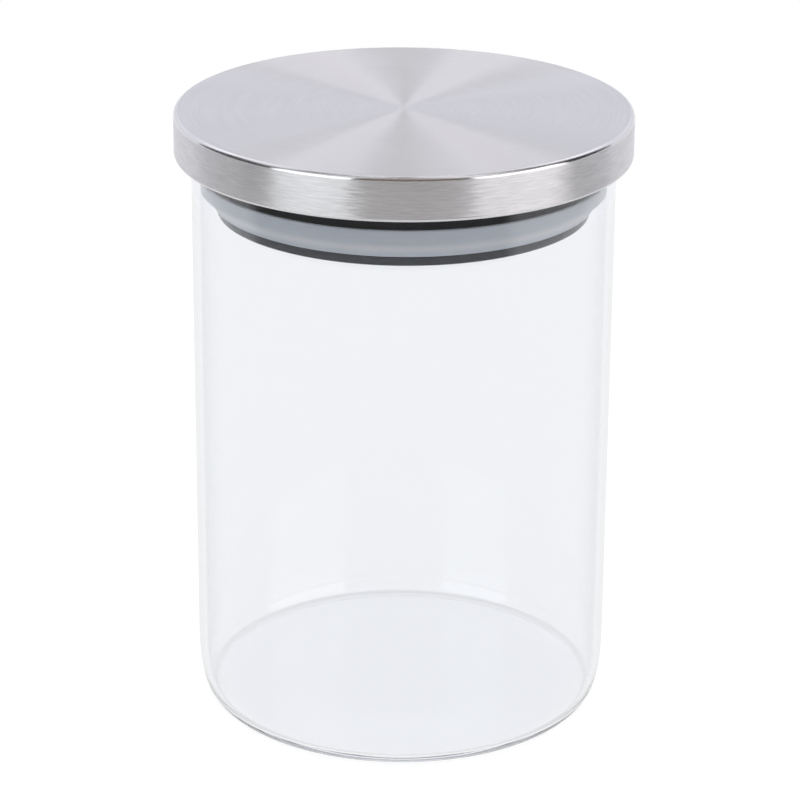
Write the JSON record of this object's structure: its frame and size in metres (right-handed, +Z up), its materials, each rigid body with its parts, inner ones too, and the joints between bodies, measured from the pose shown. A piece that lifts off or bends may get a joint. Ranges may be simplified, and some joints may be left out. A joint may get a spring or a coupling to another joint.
{
  "type": "glass storage jar",
  "caption": "Straight-walled clear glass storage jar with a flat brushed steel push-in lid and a silicone seal ring.",
  "frame": {"origin": "centre of the foot ring's resting plane, on the jar's axis", "axes": "+Z up along the jar's axis, +X to the right and -Y to the front as pictured; the jar is turned, so X and Y are free"},
  "size_m": [0.11, 0.11, 0.1506],
  "materials": {
    "glass": "clear borosilicate glass, smooth and fire-polished at the rim",
    "steel": "stainless steel, the top spun-brushed in fine rings, the skirt brushed round its length",
    "insert_plastic": "near-black moulded plastic with a soft gloss",
    "seal_silicone": "milky translucent silicone, satin"
  },
  "bodies": {
    "jar": {"glass_jar": "glass"},
    "lid": {"steel_cap": "steel", "plug_insert": "insert_plastic", "seal_ring": "seal_silicone"}
  },
  "joints": [
    {"name": "lid_lift", "type": "slide", "parent": "jar", "child": "lid", "axis": [0, 0, 1], "range_m": [0, 0.12]}
  ]
}
